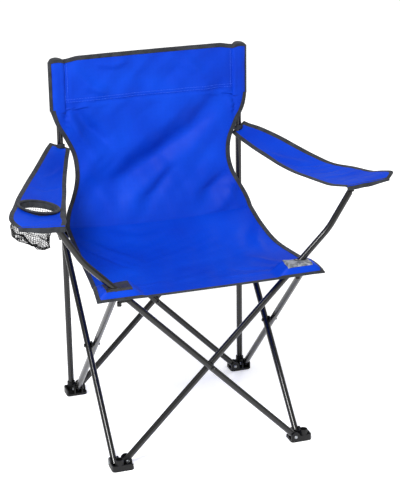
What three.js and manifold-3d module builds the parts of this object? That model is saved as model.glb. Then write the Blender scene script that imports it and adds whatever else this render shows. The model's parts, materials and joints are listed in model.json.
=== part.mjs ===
// Folding camp armchair with a crossed-tube frame, fabric seat, back and arms, and one cup holder.
// Millimetres, +Z up, +Y towards the back. The origin is on the floor at the middle of the chair.
import * as THREE from 'three';
import { mergeVertices } from 'three/addons/utils/BufferGeometryUtils.js';
import Module from 'manifold-3d';

const wasm = await Module();
wasm.setup();

// ---- driving dimensions -------------------------------------------------------------------------
const GAP = 0.3; // clearance between touching pieces
const TUBE_R = 7; // steel tube, 14 mm outside
const TUBE_BORE = 6.1;
const TUBE_SIDES = 12;
const SIDE_PLANE = 210; // side crosses, from the middle of the chair
const END_PLANE = 200; // front and rear crosses
const LAYER = 8.7; // the two tubes of a cross stand this far each side of their plane
const PIN = 191; // pivots, measured along a cross's own plane from its middle
const PIN_LOW = 13; // height of the lower pivots
const PIN_HIGH = 401; // height of the upper pivots
const TUBE_PAST_PIN = 7.5; // before the ends are rounded about their pivots
const RISE = PIN_HIGH - PIN_LOW;
const PIN_SPAN = Math.hypot(2 * PIN, RISE); // pivot to pivot along a tube
const LEAN = Math.atan2(2 * PIN, RISE); // lean of a cross tube from vertical
const ARM_STRAIGHT = 118; // from the upper front pivot to the bend of the arm tube
const ARM_BEND = THREE.MathUtils.degToRad(12.75);
const ARM_AFTER_BEND = 93;
const BEND_LENGTH = 30; // length of tube taken up by each half of the bend
const POST_X = 212;
const POST_Y = 210;
const POST_FOOT = 5.5;
const POST_TOP = 798;
const CAP_HEIGHT = 5;
const RIVET_R = 2.5;
const RIVET_HOLE = 2.8;
const RIVET_HEAD_R = 4.6;
const RIVET_HEAD = 2.2;
const SCREW_SHORT = 1; // how far a screw's hole stops short of the far plate's back
const SPACER_R = 8;
const EAR_THICKNESS = 3;
const EAR_R = 10.5;
const EAR_CLEAR = TUBE_R + 0.4; // inner face of a hub's ear, from its tube's middle
const SOCKET_R = 9.4;
const SOCKET_BORE = TUBE_R + 0.4;
const FOOT_BASE = 5;
const FOOT_WALL_TOP = 14;
const FOOT_CORNER = 7; // radius of a foot's corners in plan
const SOCKET_TOP = 26;
const SLIDER_HALF = 17;
const HUB_PLATE = 12.2; // underside of an upper hub's plate, above the pivots
const HUB_PLATE_THICKNESS = 2.6;
const CHEEK = 12; // half side of a front corner's cheek plates
const CHEEK_INNER = 8.6;
const EAR_SHORT = 7; // height of the right corner's ears above their pivot, clear of the arm tube
const FABRIC = 2.4; // thickness of a hemmed double layer
const SEAT_SIDE = 226;
const SEAT_FRONT = -222;
const SEAT_TILT = THREE.MathUtils.degToRad(5.4);
const SEAT_MIDDLE = 1.7; // each half of the seat starts this far from the middle
const SEAT_EDGE_Z = 419.5; // underside of the seat at its side edges
const BACK_TOP = 805;
const SLEEVE_BOTTOM = 692;
const SLEEVE_WALL = 1.6;
// The arms' edges from the post to the front: [y, inner edge x, its z, outer edge x, its z].
const ARM_EDGES = {
  left: [
    [199, 197, 597, 238, 609],
    [150, 210, 590, 272, 603],
    [90, 229, 582, 302, 597],
    [30, 245, 575.5, 330, 592.5],
    [-40, 263, 571, 363, 590],
    [-100, 280, 570, 386, 589],
    [-150, 297, 570, 404, 588.5],
    [-185, 312, 571, 413, 586],
    [-200, 333, 573, 405, 582],
  ],
  right: [
    [199, 200, 591.5, 243, 613],
    [150, 212, 582, 267, 607.5],
    [90, 228, 572.5, 294, 596.5],
    [30, 243, 565, 320, 584.5],
    [-40, 261, 562, 349, 576],
    [-100, 277, 563.5, 377, 580.5],
    [-150, 291, 567, 400, 584],
    [-180, 303, 572, 414, 588.5],
    [-195, 337, 576, 420, 590],
  ],
};
const CUP_X = -338;
const CUP_Y = -112;
const CUP_R = 43;
const CUP_DEPTH = 76;
const CUP_WALL = 2;
const CUP_RING_TUBE = 2.6;
const CUP_LIFT = 1.2; // middle of the ring, above the middle of the fabric

// ---- materials ----------------------------------------------------------------------------------
const finish = (color, roughness, metalness) =>
  new THREE.MeshStandardMaterial({ color, roughness, metalness });
const blackPaint = () => finish(0x1b1c1f, 0.35, 0.6);
const blackPlastic = () => finish(0x1d1e20, 0.5, 0);
const zinc = () => finish(0x8d9094, 0.35, 0.9);
const blueFabric = () => finish(0x1238c8, 0.85, 0);
const blackMesh = () => finish(0x191a1c, 0.8, 0);

// ---- solids -------------------------------------------------------------------------------------
function toSolid(geometry) {
  const bare = geometry.index ? geometry.toNonIndexed() : geometry.clone();
  bare.deleteAttribute('normal');
  bare.deleteAttribute('uv');
  const merged = mergeVertices(bare, 1e-4);
  const mesh = new wasm.Mesh({
    numProp: 3,
    vertProperties: new Float32Array(merged.attributes.position.array),
    triVerts: new Uint32Array(merged.index.array),
  });
  return new wasm.Manifold(mesh);
}

function toGeometry(solid) {
  const mesh = solid.getMesh();
  const geometry = new THREE.BufferGeometry();
  geometry.setAttribute('position', new THREE.BufferAttribute(mesh.vertProperties, 3));
  geometry.setIndex(new THREE.BufferAttribute(mesh.triVerts, 1));
  geometry.computeVertexNormals();
  return geometry;
}

const join = (geometries) => toGeometry(geometries.map(toSolid).reduce((all, one) => all.add(one)));

function cut(geometry, tools) {
  return toGeometry(tools.map(toSolid).reduce((left, tool) => left.subtract(tool), toSolid(geometry)));
}

function rod(radius, from, to, sides = 8) {
  const span = new THREE.Vector3().subVectors(to, from);
  const geometry = new THREE.CylinderGeometry(radius, radius, span.length(), sides);
  const turn = new THREE.Quaternion().setFromUnitVectors(
    new THREE.Vector3(0, 1, 0),
    span.clone().normalize(),
  );
  geometry.applyQuaternion(turn);
  const middle = new THREE.Vector3().addVectors(from, to).multiplyScalar(0.5);
  return geometry.translate(middle.x, middle.y, middle.z);
}

function block(low, high) {
  const size = high.map((h, i) => h - low[i]);
  const middle = high.map((h, i) => (h + low[i]) / 2);
  return new THREE.BoxGeometry(...size).translate(...middle);
}

function ring(outer, inner, low, high, sides = TUBE_SIDES) {
  const profile = [
    [inner, low],
    [outer, low],
    [outer, high],
    [inner, high],
    [inner, low],
  ];
  const geometry = new THREE.LatheGeometry(profile.map((p) => new THREE.Vector2(...p)), sides);
  return geometry.rotateX(Math.PI / 2); // the lathe's axis, Y, becomes Z
}

function lathe(profile, sides) {
  const points = profile.map((p) => new THREE.Vector2(...p));
  return new THREE.LatheGeometry(points, sides).rotateX(Math.PI / 2);
}

function named(name, geometry, material) {
  const mesh = new THREE.Mesh(geometry, material);
  mesh.name = name;
  return mesh;
}

// ---- tubes --------------------------------------------------------------------------------------
// A cross tube lies along +Z with its lower pivot at the origin and its pivots drilled along Y.
function crossTube(armBend) {
  const pivots = [0, PIN_SPAN / 2, PIN_SPAN];
  const path = new THREE.CurvePath();
  const start = new THREE.Vector3(0, 0, -TUBE_PAST_PIN);
  if (armBend === 0) {
    path.add(new THREE.LineCurve3(start, new THREE.Vector3(0, 0, PIN_SPAN + TUBE_PAST_PIN)));
  } else {
    const bend = new THREE.Vector3(0, 0, PIN_SPAN + ARM_STRAIGHT);
    const after = new THREE.Vector3(Math.sin(armBend), 0, Math.cos(armBend));
    const before = bend.clone().add(new THREE.Vector3(0, 0, -BEND_LENGTH));
    const past = bend.clone().addScaledVector(after, BEND_LENGTH);
    const tip = bend.clone().addScaledVector(after, ARM_AFTER_BEND);
    path.add(new THREE.LineCurve3(start, before));
    path.add(new THREE.QuadraticBezierCurve3(before, bend, past));
    path.add(new THREE.LineCurve3(past, tip));
  }
  const section = new THREE.Shape().absarc(0, 0, TUBE_R, 0, 2 * Math.PI);
  section.holes.push(new THREE.Path().absarc(0, 0, TUBE_BORE, 0, 2 * Math.PI));
  const tube = new THREE.ExtrudeGeometry(section, {
    curveSegments: TUBE_SIDES / 2,
    steps: armBend === 0 ? 1 : 14,
    bevelEnabled: false,
    extrudePath: path,
  });
  const across = (radius, z, sides) =>
    rod(radius, new THREE.Vector3(0, -TUBE_R - 2, z), new THREE.Vector3(0, TUBE_R + 2, z), sides);
  const top = armBend === 0 ? PIN_SPAN : 2 * PIN_SPAN;
  const rounded = [block([-99, -TUBE_R - 1, 0], [99, TUBE_R + 1, top]), across(TUBE_R, 0, 12)];
  if (armBend === 0) {
    rounded.push(across(TUBE_R, PIN_SPAN, 12));
  }
  const shaped = toGeometry(toSolid(tube).intersect(toSolid(join(rounded))));
  return cut(shaped, pivots.map((z) => across(RIVET_HOLE, z, 8)));
}

// A rivet along Y with its middle at the origin; halfGrip is half of what it clamps. A screw has
// a head at its +Y end alone, and its other end stops short inside the far plate.
function rivet(halfGrip, screw = false) {
  const neck = halfGrip + GAP;
  const farEnd = [
    [0, -neck - RIVET_HEAD],
    [RIVET_HEAD_R * 0.7, -neck - RIVET_HEAD],
    [RIVET_HEAD_R, -neck],
    [RIVET_R, -neck],
  ];
  const blindEnd = [
    [0, -halfGrip + SCREW_SHORT + GAP],
    [RIVET_R, -halfGrip + SCREW_SHORT + GAP],
  ];
  const profile = [
    ...(screw ? blindEnd : farEnd),
    [RIVET_R, neck],
    [RIVET_HEAD_R, neck],
    [RIVET_HEAD_R * 0.7, neck + RIVET_HEAD],
    [0, neck + RIVET_HEAD],
  ];
  return new THREE.LatheGeometry(profile.map((p) => new THREE.Vector2(...p)), 8);
}

// One cross in its own plane: X along the plane, Y outwards, and the pair of tubes, rivet and spacer.
function cross(side, armed) {
  const group = new THREE.Group();
  const lay = [
    { layer: 1, name: armed ? 'front_tube_left_arm' : `${side}_tube_outer` },
    { layer: -1, name: armed ? 'front_tube_right_arm' : `${side}_tube_inner` },
  ];
  for (const { layer, name } of lay) {
    const tube = named(name, crossTube(armed ? -layer * ARM_BEND : 0), blackPaint());
    tube.position.set(-layer * PIN, layer * LAYER, PIN_LOW);
    tube.rotation.y = layer * LEAN;
    group.add(tube);
    if (armed) {
      const cap = named(layer > 0 ? 'arm_tip_cap_left' : 'arm_tip_cap_right', tubeCap(), blackPlastic());
      const after = layer * (LEAN - ARM_BEND);
      const bendX = Math.sin(layer * LEAN) * (PIN_SPAN + ARM_STRAIGHT);
      const bendZ = Math.cos(LEAN) * (PIN_SPAN + ARM_STRAIGHT);
      cap.position.set(
        -layer * PIN + bendX + Math.sin(after) * ARM_AFTER_BEND,
        layer * LAYER,
        PIN_LOW + bendZ + Math.cos(after) * ARM_AFTER_BEND,
      );
      cap.rotation.y = after;
      group.add(cap);
    }
  }
  const middle = (PIN_LOW + PIN_HIGH) / 2;
  const pin = named(`${side}_cross_rivet`, rivet(LAYER + TUBE_R), zinc());
  pin.position.set(0, 0, middle);
  const spacerHalf = LAYER - TUBE_R - GAP;
  const washer = ring(SPACER_R, RIVET_HOLE, -spacerHalf, spacerHalf).rotateX(Math.PI / 2);
  const spacer = named(`${side}_cross_spacer`, washer, blackPlastic());
  spacer.position.set(0, 0, middle);
  group.add(pin, spacer);
  return group;
}

// A cap that plugs a tube: its rim sits on the tube's end, at the origin, and +Z points out.
function tubeCap() {
  const profile = [
    [0, -10],
    [TUBE_BORE - GAP - 0.2, -10],
    [TUBE_BORE - GAP - 0.2, GAP],
    [TUBE_R + 0.4, GAP],
    [TUBE_R + 0.4, CAP_HEIGHT - 1.5],
    [TUBE_R - 1.5, CAP_HEIGHT],
    [0, CAP_HEIGHT],
  ];
  return lathe(profile, TUBE_SIDES);
}

// ---- hubs ---------------------------------------------------------------------------------------
// An ear is a plate across the pivot, from the hub's plate at z = root to a round end past the pivot.
function ear(alongX, pinAt, face, root, pinHeight) {
  const up = Math.sign(pinHeight - root);
  const outline = new THREE.Shape();
  outline.moveTo(-EAR_R, root - pinHeight);
  outline.lineTo(-EAR_R, 0);
  outline.absarc(0, 0, EAR_R, Math.PI, 0, up > 0);
  outline.lineTo(EAR_R, root - pinHeight);
  outline.closePath();
  const plate = new THREE.ExtrudeGeometry(outline, {
    depth: EAR_THICKNESS,
    curveSegments: 4,
    bevelEnabled: false,
  });
  plate.rotateX(Math.PI / 2); // drawn upright in X and Z, thickness towards -Y
  if (alongX) {
    return plate.translate(pinAt, face + EAR_THICKNESS, pinHeight);
  }
  return plate.rotateZ(Math.PI / 2).translate(face, pinAt, pinHeight);
}

// Both ears of the tube that lies at `layer` in an X-running or Y-running plane.
function ears(alongX, pinAt, layer, root, pinHeight) {
  return [layer - EAR_CLEAR - EAR_THICKNESS, layer + EAR_CLEAR].map((face) =>
    ear(alongX, pinAt, face, root, pinHeight),
  );
}

// Where a corner's two tubes lie. Going round the chair, each cross's outer tube starts at one foot
// and its inner tube at the next, so the two diagonals differ.
function cornerLayers(sx, sy, upper) {
  const endIsOuter = sx * sy < 0 !== upper;
  const offset = endIsOuter ? LAYER : -LAYER;
  return {
    endLayer: sy * (END_PLANE + offset),
    sideLayer: sx * (SIDE_PLANE - offset),
  };
}

// The holes for a corner's two pivots. Where the end tube is the outer one, the side tube's end lies
// just behind its hub wall, so that hole is blind and takes a screw from outside.
function pivotHoles(sx, sy, upper) {
  const { endLayer, sideLayer } = cornerLayers(sx, sy, upper);
  const z = upper ? PIN_HIGH : PIN_LOW;
  const wide = EAR_CLEAR + EAR_THICKNESS;
  const inward = isOuter(endLayer) ? wide - SCREW_SHORT : wide + 2;
  const end = [endLayer + sy * (wide + 2), endLayer - sy * inward].map(
    (y) => new THREE.Vector3(sx * PIN, y, z),
  );
  const side = [sideLayer - wide - 2, sideLayer + wide + 2].map(
    (x) => new THREE.Vector3(x, sy * PIN, z),
  );
  return [rod(RIVET_HOLE, ...end), rod(RIVET_HOLE, ...side)];
}

const isOuter = (endLayer) => Math.abs(endLayer) > END_PLANE;

function spanBetween(a, b) {
  return [Math.min(a, b), Math.max(a, b)];
}

// A rounded rectangle, drawn in plan and raised from one height to another.
function slab([x0, y0], [x1, y1], radius, low, high) {
  const outline = new THREE.Shape();
  outline.absarc(x1 - radius, y1 - radius, radius, 0, Math.PI / 2);
  outline.absarc(x0 + radius, y1 - radius, radius, Math.PI / 2, Math.PI);
  outline.absarc(x0 + radius, y0 + radius, radius, Math.PI, 1.5 * Math.PI);
  outline.absarc(x1 - radius, y0 + radius, radius, 1.5 * Math.PI, 2 * Math.PI);
  outline.closePath();
  const options = { depth: high - low, curveSegments: 2, bevelEnabled: false };
  return new THREE.ExtrudeGeometry(outline, options).translate(0, 0, low);
}

// A foot is a low tray with a wall along its two outer sides, ears for two tubes, and a post's socket.
function foot(sx, sy) {
  const { endLayer, sideLayer } = cornerLayers(sx, sy, false);
  const reach = LAYER + EAR_CLEAR + EAR_THICKNESS;
  const [x0, x1] = spanBetween(sx * (PIN - EAR_R), sx * (SIDE_PLANE + reach));
  const [y0, y1] = spanBetween(sy * (PIN - EAR_R), sy * (END_PLANE + reach));
  const tray = slab([x0, y0], [x1, y1], FOOT_CORNER, 0, FOOT_WALL_TOP);
  const inside = reach - EAR_THICKNESS;
  const [hollowX0, hollowX1] = spanBetween(sx * (PIN - EAR_R - 1), sx * (SIDE_PLANE + inside));
  const [hollowY0, hollowY1] = spanBetween(sy * (PIN - EAR_R - 1), sy * (END_PLANE + inside));
  const hollow = block([hollowX0, hollowY0, FOOT_BASE], [hollowX1, hollowY1, FOOT_WALL_TOP + 1]);
  const socket = rod(
    SOCKET_R,
    new THREE.Vector3(sx * POST_X, sy * POST_Y, 1),
    new THREE.Vector3(sx * POST_X, sy * POST_Y, SOCKET_TOP),
    TUBE_SIDES,
  );
  const bore = rod(
    SOCKET_BORE,
    new THREE.Vector3(sx * POST_X, sy * POST_Y, POST_FOOT - GAP),
    new THREE.Vector3(sx * POST_X, sy * POST_Y, SOCKET_TOP + 5),
    TUBE_SIDES,
  );
  const body = join([
    cut(tray, [hollow]),
    socket,
    ...ears(true, sx * PIN, endLayer, 2, PIN_LOW),
    ...ears(false, sy * PIN, sideLayer, 2, PIN_LOW),
  ]);
  return cut(body, [bore, ...pivotHoles(sx, sy, false)]);
}

function slider(sx) {
  const { endLayer, sideLayer } = cornerLayers(sx, 1, true);
  const under = PIN_HIGH + HUB_PLATE;
  const top = under + HUB_PLATE_THICKNESS;
  const edge = END_PLANE + LAYER + EAR_CLEAR + EAR_THICKNESS;
  const [x0, x1] = spanBetween(sx * (PIN - EAR_R), sx * (edge + SIDE_PLANE - END_PLANE));
  const plate = block([x0, PIN - EAR_R, under], [x1, edge, top]);
  const centre = (z) => new THREE.Vector3(sx * POST_X, POST_Y, z);
  const collar = rod(SOCKET_R, centre(PIN_HIGH - SLIDER_HALF), centre(PIN_HIGH + SLIDER_HALF), TUBE_SIDES);
  const bore = rod(SOCKET_BORE, centre(PIN_HIGH - 40), centre(PIN_HIGH + 40), TUBE_SIDES);
  const body = join([
    plate,
    collar,
    ...ears(true, sx * PIN, endLayer, top - 1, PIN_HIGH),
    ...ears(false, PIN, sideLayer, top - 1, PIN_HIGH),
  ]);
  return cut(body, [bore, ...pivotHoles(sx, 1, true)]);
}

// A front corner: cheeks hold the tube that runs on up to the arm, and ears hold a side tube's end.
function corner(sx) {
  const { endLayer, sideLayer } = cornerLayers(sx, -1, true);
  const wide = EAR_CLEAR + EAR_THICKNESS;
  const x = sx * PIN;
  const backFace = endLayer + wide;
  const frontFace = endLayer - wide;
  const cheek = (face) =>
    block([x - CHEEK, face, PIN_HIGH - CHEEK], [x + CHEEK, face + EAR_THICKNESS, PIN_HIGH + CHEEK]);
  // the tube leans outwards between the cheeks, so they are bridged at the two corners it leaves free
  const bridge = (side) => {
    const [x0, x1] = spanBetween(x + side * sx * CHEEK_INNER, x + side * sx * CHEEK);
    const [z0, z1] = spanBetween(PIN_HIGH - side * CHEEK_INNER, PIN_HIGH - side * CHEEK);
    return block([x0, frontFace, z0], [x1, backFace, z1]);
  };
  const earFront = -PIN - EAR_R;
  const outside = sideLayer + sx * wide;
  const inside = sideLayer - sx * wide;
  const [x0, x1] = spanBetween(inside, outside);
  const pieces = [cheek(frontFace), cheek(endLayer + EAR_CLEAR), bridge(1), bridge(-1)];
  if (isOuter(endLayer)) {
    const top = PIN_HIGH + HUB_PLATE + HUB_PLATE_THICKNESS;
    pieces.push(block([x0, earFront + 0.2, PIN_HIGH + HUB_PLATE], [x1, -PIN + EAR_R, top]));
    pieces.push(...ears(false, -PIN, sideLayer, top - 1, PIN_HIGH));
  } else {
    const top = PIN_HIGH + EAR_SHORT;
    const link = spanBetween(x + sx * CHEEK_INNER, inside + sx * EAR_THICKNESS);
    pieces.push(block([x0, earFront - 2, PIN_HIGH - EAR_R], [x1, earFront + 0.8, top]));
    pieces.push(block([link[0], frontFace, PIN_HIGH - CHEEK], [link[1], backFace, PIN_HIGH - CHEEK + 7]));
    pieces.push(...ears(false, -PIN, sideLayer, top, PIN_HIGH));
  }
  const knobX = x + sx * (CHEEK_INNER + CHEEK) * 0.5;
  const knobTop = new THREE.Vector3(knobX, frontFace + 5, PIN_HIGH - CHEEK + 1);
  pieces.push(rod(5, knobTop, knobTop.clone().add(new THREE.Vector3(0, 0, -9)), TUBE_SIDES));
  return cut(join(pieces), pivotHoles(sx, -1, true));
}

// ---- fabric -------------------------------------------------------------------------------------
// A band of fabric: its middle line is drawn in Y and Z, given thickness, and run along X.
function band(line, from, to) {
  const upper = [];
  const lower = [];
  line.forEach(([y, z], i) => {
    const [ya, za] = line[Math.max(i - 1, 0)];
    const [yb, zb] = line[Math.min(i + 1, line.length - 1)];
    const along = new THREE.Vector2(yb - ya, zb - za).normalize();
    upper.push(new THREE.Vector2(y - (along.y * FABRIC) / 2, z + (along.x * FABRIC) / 2));
    lower.unshift(new THREE.Vector2(y + (along.y * FABRIC) / 2, z - (along.x * FABRIC) / 2));
  });
  const shape = new THREE.Shape([...upper, ...lower]);
  const geometry = new THREE.ExtrudeGeometry(shape, { depth: to - from, bevelEnabled: false });
  // the drawing's X and Y become Y and Z, and its depth becomes X
  const turn = new THREE.Matrix4().makeBasis(
    new THREE.Vector3(0, 1, 0),
    new THREE.Vector3(0, 0, 1),
    new THREE.Vector3(1, 0, 0),
  );
  return geometry.applyMatrix4(turn).translate(from, 0, 0);
}

// Half of the seat, hung from its side edge and leaning down to the middle of the chair.
function seatHalf(sx) {
  const line = [
    [SEAT_FRONT, 0],
    [-110, -2],
    [0, -4],
    [90, 1],
    [147, 13],
  ];
  const half = band(line, 0, SEAT_SIDE / Math.cos(SEAT_TILT));
  if (sx < 0) {
    half.scale(-1, 1, 1);
    flipFaces(half);
  }
  half.rotateY(-sx * SEAT_TILT);
  const fall = Math.tan(SEAT_TILT) * SEAT_SIDE;
  half.translate(sx * SEAT_MIDDLE, 0, SEAT_EDGE_Z - fall + FABRIC);
  const { endLayer } = cornerLayers(sx, -1, true);
  const axis = new THREE.Vector3(sx * Math.sin(LEAN), 0, Math.cos(LEAN));
  const pivot = new THREE.Vector3(sx * PIN, endLayer, PIN_HIGH);
  const passage = rod(
    TUBE_R + 2.5,
    pivot,
    pivot.clone().addScaledVector(axis, 80),
    TUBE_SIDES,
  );
  return cut(half, [passage]);
}

function flipFaces(geometry) {
  const at = geometry.attributes.position;
  for (let i = 0; i < at.count; i += 3) {
    const b = new THREE.Vector3().fromBufferAttribute(at, i + 1);
    const c = new THREE.Vector3().fromBufferAttribute(at, i + 2);
    at.setXYZ(i + 1, c.x, c.y, c.z);
    at.setXYZ(i + 2, b.x, b.y, b.z);
  }
}

// The back: a band that rises from the seat's crease to the top, trimmed to its waisted outline.
function backPanel() {
  const line = [
    [150, 437],
    [178, 508],
    [193, 578],
    [200, 648],
    [202, 708],
    [202, BACK_TOP],
  ];
  const sheet = band(line, -SEAT_SIDE, SEAT_SIDE);
  const beside = POST_X - SOCKET_R - 1.5;
  const side = [
    [216, 428],
    [200, 488],
    [184, 538],
    [183, 588],
    [190, 648],
    [beside, SLEEVE_BOTTOM],
    [beside, BACK_TOP + 5],
  ];
  const outline = new THREE.Shape();
  side.forEach(([x, z], i) => (i === 0 ? outline.moveTo(x, z) : outline.lineTo(x, z)));
  [...side].reverse().forEach(([x, z]) => outline.lineTo(-x, z));
  outline.closePath();
  const cutter = new THREE.ExtrudeGeometry(outline, { depth: 300, bevelEnabled: false });
  cutter.rotateX(Math.PI / 2).translate(0, 320, 0);
  return toGeometry(toSolid(sheet).intersect(toSolid(cutter)));
}

// An armrest is a strip of hemmed fabric between its two edges. The left one is open at its cup.
function armrest(side) {
  const sx = side === 'left' ? -1 : 1;
  const rows = ARM_EDGES[side];
  const spans = rows.length - 1;
  const strip = new THREE.BoxGeometry(1, spans, FABRIC, 1, spans, 1);
  const at = strip.attributes.position;
  for (let i = 0; i < at.count; i += 1) {
    const [y, innerX, innerZ, outerX, outerZ] = rows[Math.round(spans / 2 - at.getY(i))];
    const across = 0.5 + sx * at.getX(i); // 0 at the inner edge and 1 at the outer
    const x = THREE.MathUtils.lerp(innerX, outerX, across);
    const z = THREE.MathUtils.lerp(innerZ, outerZ, across);
    at.setXYZ(i, sx * x, y, z + at.getZ(i));
  }
  if (side === 'right') {
    return join([strip]);
  }
  const [low, high] = [540, 640].map((z) => new THREE.Vector3(CUP_X, CUP_Y, z));
  return cut(strip, [rod(CUP_R + CUP_RING_TUBE + 0.6, low, high, 20)]);
}

// Lays a cup piece, drawn about the ring's middle, on the slope of the left arm.
function onArm(geometry, drop) {
  const rows = ARM_EDGES.left;
  const front = rows.findIndex((row) => row[0] < CUP_Y);
  const share = (rows[front - 1][0] - CUP_Y) / (rows[front - 1][0] - rows[front][0]);
  const edges = rows[front].map((value, i) => THREE.MathUtils.lerp(rows[front - 1][i], value, share));
  const slope = (edges[4] - edges[2]) / (edges[3] - edges[1]);
  const height = edges[2] + (-CUP_X - edges[1]) * slope + CUP_LIFT;
  const shear = new THREE.Matrix4().set(1, 0, 0, 0, 0, 1, 0, 0, -slope, 0, 1, 0, 0, 0, 0, 1);
  return geometry.applyMatrix4(shear).translate(CUP_X, CUP_Y, height - drop);
}

// The cup bag hangs just under its ring: a bowl open at the top.
function cupNet() {
  const profile = [
    [0, -CUP_DEPTH],
    [CUP_R * 0.72, -CUP_DEPTH],
    [CUP_R * 0.95, -CUP_DEPTH * 0.72],
    [CUP_R, 0],
    [CUP_R - CUP_WALL, 0],
    [CUP_R * 0.95 - CUP_WALL, -CUP_DEPTH * 0.7],
    [CUP_R * 0.72 - CUP_WALL, -CUP_DEPTH + CUP_WALL],
    [0, -CUP_DEPTH + CUP_WALL],
  ];
  return lathe(profile, 20);
}

// ---- the chair ----------------------------------------------------------------------------------
const chair = new THREE.Group();

const CROSSES = [
  { side: 'rear', turn: 0, out: END_PLANE },
  { side: 'left', turn: Math.PI / 2, out: SIDE_PLANE },
  { side: 'front', turn: Math.PI, out: END_PLANE },
  { side: 'right', turn: -Math.PI / 2, out: SIDE_PLANE },
];
for (const { side, turn, out } of CROSSES) {
  const group = cross(side, side === 'front');
  group.rotation.z = turn;
  group.position.set(-Math.sin(turn) * out, Math.cos(turn) * out, 0);
  chair.add(group);
}

// Pivot rivets: the tube in the front or rear cross turns about Y, the one in a side cross about X.
function hubRivets(label, sx, sy, upper) {
  const { endLayer, sideLayer } = cornerLayers(sx, sy, upper);
  const height = upper ? PIN_HIGH : PIN_LOW;
  const grip = EAR_CLEAR + EAR_THICKNESS;
  const end = named(`${label}_rivet_end`, rivet(grip, isOuter(endLayer)), zinc());
  end.position.set(sx * PIN, endLayer, height);
  end.rotation.z = sy < 0 ? Math.PI : 0;
  const side = named(`${label}_rivet_side`, rivet(grip), zinc());
  side.position.set(sideLayer, sy * PIN, height);
  side.rotation.z = Math.PI / 2;
  chair.add(end, side);
}

for (const [sideName, sx] of [['left', -1], ['right', 1]]) {
  for (const [endName, sy] of [['front', -1], ['rear', 1]]) {
    const label = `${endName}_${sideName}`;
    chair.add(named(`foot_${label}`, foot(sx, sy), blackPlastic()));
    hubRivets(`foot_${label}`, sx, sy, false);
    const upperName = sy < 0 ? `corner_${sideName}` : `slider_${sideName}`;
    chair.add(named(upperName, sy < 0 ? corner(sx) : slider(sx), blackPlastic()));
    hubRivets(upperName, sx, sy, true);
  }
  const post = named(`post_${sideName}`, ring(TUBE_R, TUBE_BORE, POST_FOOT, POST_TOP), blackPaint());
  post.position.set(sx * POST_X, POST_Y, 0);
  const cap = named(`post_cap_${sideName}`, tubeCap(), blackPlastic());
  cap.position.set(sx * POST_X, POST_Y, POST_TOP);
  const sleeve = ring(SOCKET_BORE + SLEEVE_WALL, SOCKET_BORE, SLEEVE_BOTTOM, POST_TOP - 4);
  const sleeveMesh = named(`back_sleeve_${sideName}`, sleeve, blueFabric());
  sleeveMesh.position.set(sx * POST_X, POST_Y, 0);
  chair.add(post, cap, sleeveMesh);
  chair.add(named(`seat_${sideName}`, seatHalf(sx), blueFabric()));
  chair.add(named(`armrest_${sideName}`, armrest(sideName), blueFabric()));
}

chair.add(named('back_panel', backPanel(), blueFabric()));

const cupRing = new THREE.TorusGeometry(CUP_R - CUP_RING_TUBE / 2, CUP_RING_TUBE, 6, 20);
chair.add(named('cup_ring', onArm(cupRing, 0), blackPlastic()));
chair.add(named('cup_net', onArm(cupNet(), CUP_RING_TUBE + GAP), blackMesh()));

export default chair;
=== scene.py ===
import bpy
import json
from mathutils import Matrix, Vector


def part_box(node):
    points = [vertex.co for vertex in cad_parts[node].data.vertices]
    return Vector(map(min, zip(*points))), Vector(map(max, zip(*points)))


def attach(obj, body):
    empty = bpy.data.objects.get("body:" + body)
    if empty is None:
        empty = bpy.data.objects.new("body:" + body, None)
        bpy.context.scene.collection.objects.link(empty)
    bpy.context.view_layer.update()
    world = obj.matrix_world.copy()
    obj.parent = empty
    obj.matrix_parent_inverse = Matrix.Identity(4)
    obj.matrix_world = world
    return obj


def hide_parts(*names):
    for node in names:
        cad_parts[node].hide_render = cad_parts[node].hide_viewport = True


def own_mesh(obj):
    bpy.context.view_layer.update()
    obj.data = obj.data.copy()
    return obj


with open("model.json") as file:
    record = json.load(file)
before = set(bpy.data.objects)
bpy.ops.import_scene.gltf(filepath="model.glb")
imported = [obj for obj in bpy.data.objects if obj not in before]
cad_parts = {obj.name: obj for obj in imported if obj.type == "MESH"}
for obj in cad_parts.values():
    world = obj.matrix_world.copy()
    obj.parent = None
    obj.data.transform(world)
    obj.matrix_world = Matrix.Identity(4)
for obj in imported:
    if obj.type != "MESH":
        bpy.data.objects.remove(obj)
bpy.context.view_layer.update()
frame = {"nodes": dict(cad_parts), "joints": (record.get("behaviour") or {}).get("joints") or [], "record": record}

# Looks of a folding camp armchair: powder-coated steel tubes on moulded hubs, a woven polyester seat,
# back and arms edged with tape, and a knitted cup bag. Lengths in the tables are millimetres in the
# frame's own axes: +X to the right as seen from the front, +Y towards the back, +Z up. Left and right
# are as seen from the front too.
import json
import math

import bmesh
import bpy
from mathutils import Matrix, Vector, noise

MM = 0.001
JOINTS = {joint["name"]: Vector(joint["pos_m"]) for joint in frame["joints"]}
NODE_BODY = {node: body for body, nodes in frame["record"]["behaviour"]["bodies"].items() for node in nodes}


def middle(node):
    low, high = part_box(node)
    return (Vector(low) + Vector(high)) / 2


# ---- measures taken from the frame --------------------------------------------------------------
POST = {side: middle(f"post_{side}") for side in ("left", "right")}
TUBE_R = (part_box("rear_tube_outer")[1][1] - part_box("rear_tube_outer")[0][1]) / 2
SIGN = {"left": -1, "right": 1}
# the pivot at the foot of each arm tube, which crosses under the seat to its side
ARM_TUBE_FOOT = {"left": "front_right_foot_pivot", "right": "front_left_foot_arm_pivot"}
# the tables below give heights as if the upper pivots stood this high, and LIFT corrects that, mm
UPPER_PIVOT_HEIGHT = 413
LEVEL = JOINTS["left_slider_pivot"].z / MM - UPPER_PIVOT_HEIGHT
LIFT = Vector((0, 0, LEVEL))

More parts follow.
